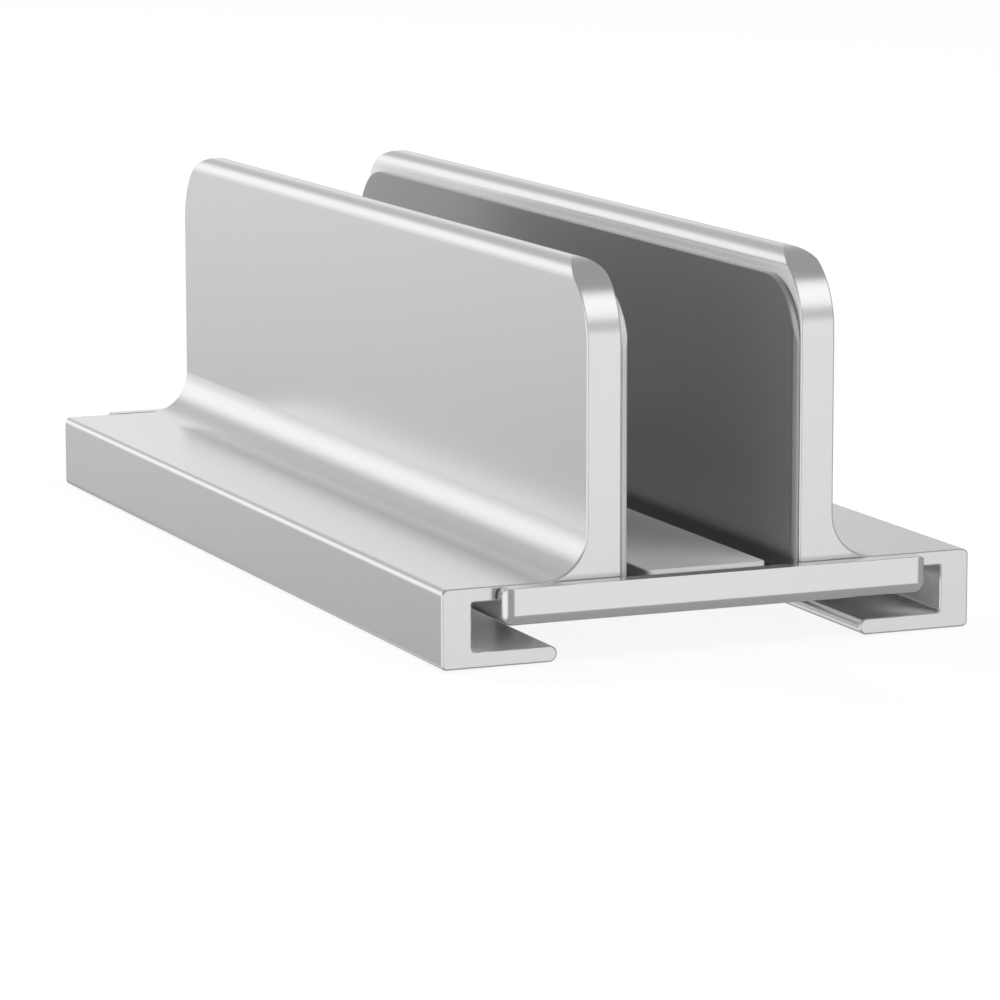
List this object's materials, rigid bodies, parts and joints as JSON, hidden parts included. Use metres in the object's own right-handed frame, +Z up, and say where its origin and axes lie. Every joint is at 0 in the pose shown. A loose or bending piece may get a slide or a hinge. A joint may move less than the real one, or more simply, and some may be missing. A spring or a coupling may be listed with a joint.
{
  "type": "vertical laptop stand",
  "caption": "Vertical laptop stand: parallel walls with C-shaped feet slide on a tray-shaped base plate to set the slot's width. Lined with silicone, clamped from below.",
  "frame": {"origin": "on the desk plane, under the middle of the stand's footprint", "axes": "+Z up, +Y along the walls from the front end to the rear end, +X to the right-hand wall as seen from the front; the walls slide along X"},
  "size_m": [0.087, 0.1864, 0.0593],
  "materials": {
    "wall_aluminium": "bead-blasted, clear anodised satin aluminium extrusion",
    "plate_aluminium": "bead-blasted, clear anodised satin machined plate",
    "dark_silicone": "matt dark grey silicone",
    "grey_silicone": "matt mid grey silicone",
    "foot_silicone": "matt dark grey silicone",
    "screw_steel": "nickel-plated steel, lightly grained",
    "washer_steel": "zinc-plated steel"
  },
  "bodies": {
    "base": {"base_plate": "plate_aluminium", "centre_pad": "grey_silicone"},
    "left_side": {"left_upright": "wall_aluminium", "left_wall_pad": "dark_silicone", "left_front_foot_pad": "foot_silicone", "left_front_flat_washer": "washer_steel", "left_front_spring_washer": "washer_steel", "left_rear_foot_pad": "foot_silicone", "left_rear_flat_washer": "washer_steel", "left_rear_spring_washer": "washer_steel"},
    "right_side": {"right_upright": "wall_aluminium", "right_wall_pad": "dark_silicone", "right_front_foot_pad": "foot_silicone", "right_front_flat_washer": "washer_steel", "right_front_spring_washer": "washer_steel", "right_rear_foot_pad": "foot_silicone", "right_rear_flat_washer": "washer_steel", "right_rear_spring_washer": "washer_steel"},
    "left_front_screw": {"left_front_clamp_screw": "screw_steel"},
    "left_rear_screw": {"left_rear_clamp_screw": "screw_steel"},
    "right_front_screw": {"right_front_clamp_screw": "screw_steel"},
    "right_rear_screw": {"right_rear_clamp_screw": "screw_steel"}
  },
  "joints": [
    {"name": "left_upright_slide", "type": "slide", "parent": "base", "child": "left_side", "axis": [-1, 0, 0], "range_m": [-0.0033, 0.0075]},
    {"name": "right_upright_slide", "type": "slide", "parent": "base", "child": "right_side", "axis": [1, 0, 0], "range_m": [-0.0033, 0.0075]},
    {"name": "left_front_screw_turn", "type": "hinge", "parent": "left_side", "child": "left_front_screw", "pos_m": [-0.0175, -0.055, 0.006], "axis": [0, 0, -1], "range_deg": [0, 360]},
    {"name": "left_rear_screw_turn", "type": "hinge", "parent": "left_side", "child": "left_rear_screw", "pos_m": [-0.0175, 0.055, 0.006], "axis": [0, 0, -1], "range_deg": [0, 360]},
    {"name": "right_front_screw_turn", "type": "hinge", "parent": "right_side", "child": "right_front_screw", "pos_m": [0.0175, -0.055, 0.006], "axis": [0, 0, -1], "range_deg": [0, 360]},
    {"name": "right_rear_screw_turn", "type": "hinge", "parent": "right_side", "child": "right_rear_screw", "pos_m": [0.0175, 0.055, 0.006], "axis": [0, 0, -1], "range_deg": [0, 360]}
  ]
}
